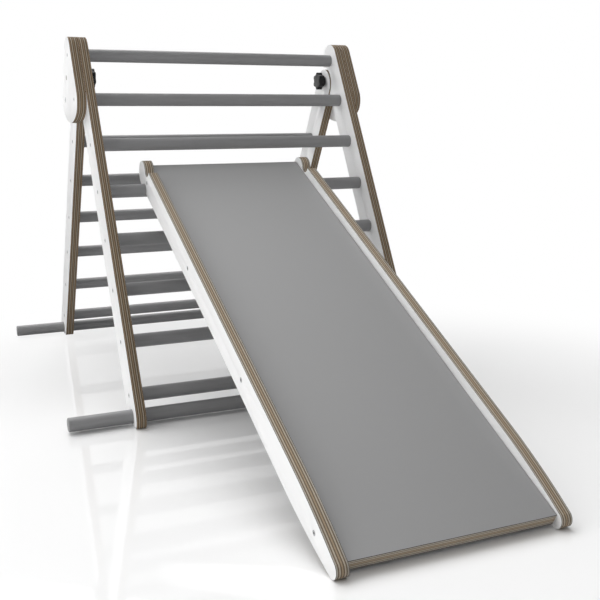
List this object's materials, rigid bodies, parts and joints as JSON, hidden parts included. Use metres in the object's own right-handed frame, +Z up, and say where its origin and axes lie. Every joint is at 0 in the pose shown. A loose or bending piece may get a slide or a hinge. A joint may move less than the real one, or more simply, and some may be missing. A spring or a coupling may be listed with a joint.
{
  "type": "climbing triangle",
  "caption": "Folding A-frame of two laddered sides with hinge plates and star knobs, floor bars, and a lift-off slide hooked on a rung.",
  "frame": {"origin": "middle of the whole object's footprint, on the floor", "axes": "+X along the rungs to the right of a child facing the slide's ladder, +Y from the slide's foot to the rear ladder, +Z up"},
  "size_m": [0.964, 1.6888, 0.8289],
  "materials": {
    "white_board": "birch plywood with white laminate faces and bare layered edges",
    "rung_wood": "turned beech, painted satin grey",
    "deck_board": "plywood with a plain satin grey face",
    "screw_steel": "zinc plated steel",
    "zinc_steel": "zinc plated steel",
    "insert_brass": "bare brass",
    "knob_plastic": "moulded black plastic"
  },
  "bodies": {
    "root": {"front_left_rail": "white_board", "front_right_rail": "white_board", "front_rung_1": "rung_wood", "front_rung_2": "rung_wood", "front_rung_3": "rung_wood", "front_rung_4": "rung_wood", "front_rung_5": "rung_wood", "front_rung_6": "rung_wood", "front_rung_7": "rung_wood", "front_rung_8": "rung_wood", "front_floor_bar": "rung_wood", "front_left_screws": "screw_steel", "front_right_screws": "screw_steel", "left_hinge_plate": "white_board", "right_hinge_plate": "white_board", "left_plate_screws": "screw_steel", "right_plate_screws": "screw_steel", "left_knob_insert": "insert_brass", "right_knob_insert": "insert_brass"},
    "rear_ladder": {"rear_left_rail": "white_board", "rear_right_rail": "white_board", "rear_rung_1": "rung_wood", "rear_rung_2": "rung_wood", "rear_rung_3": "rung_wood", "rear_rung_4": "rung_wood", "rear_rung_5": "rung_wood", "rear_rung_6": "rung_wood", "rear_rung_7": "rung_wood", "rear_floor_bar": "rung_wood", "rear_left_screws": "screw_steel", "rear_right_screws": "screw_steel", "left_pivot_screw": "screw_steel", "right_pivot_screw": "screw_steel", "left_knob_washer": "zinc_steel", "right_knob_washer": "zinc_steel"},
    "left_knob": {"left_star_knob": "knob_plastic", "left_knob_bolt": "zinc_steel"},
    "right_knob": {"right_star_knob": "knob_plastic", "right_knob_bolt": "zinc_steel"},
    "slide": {"slide_deck": "deck_board", "slide_left_rail": "white_board", "slide_right_rail": "white_board", "slide_left_screws": "screw_steel", "slide_right_screws": "screw_steel"}
  },
  "joints": [
    {"name": "rear_ladder_fold", "type": "hinge", "parent": "root", "child": "rear_ladder", "pos_m": [0, 0.42427, 0.68271], "axis": [-1, 0, 0], "range_deg": [0, 59.6]},
    {"name": "left_knob_turn", "type": "hinge", "parent": "rear_ladder", "child": "left_knob", "pos_m": [-0.3118, 0.39446, 0.73477], "axis": [1, 0, 0], "range_deg": [0, 720]},
    {"name": "right_knob_turn", "type": "hinge", "parent": "rear_ladder", "child": "right_knob", "pos_m": [0.3118, 0.39446, 0.73477], "axis": [-1, 0, 0], "range_deg": [0, 720]},
    {"name": "slide_lift", "type": "slide", "parent": "root", "child": "slide", "axis": [0, -0.4337, 0.9011], "range_m": [0, 0.15]}
  ]
}
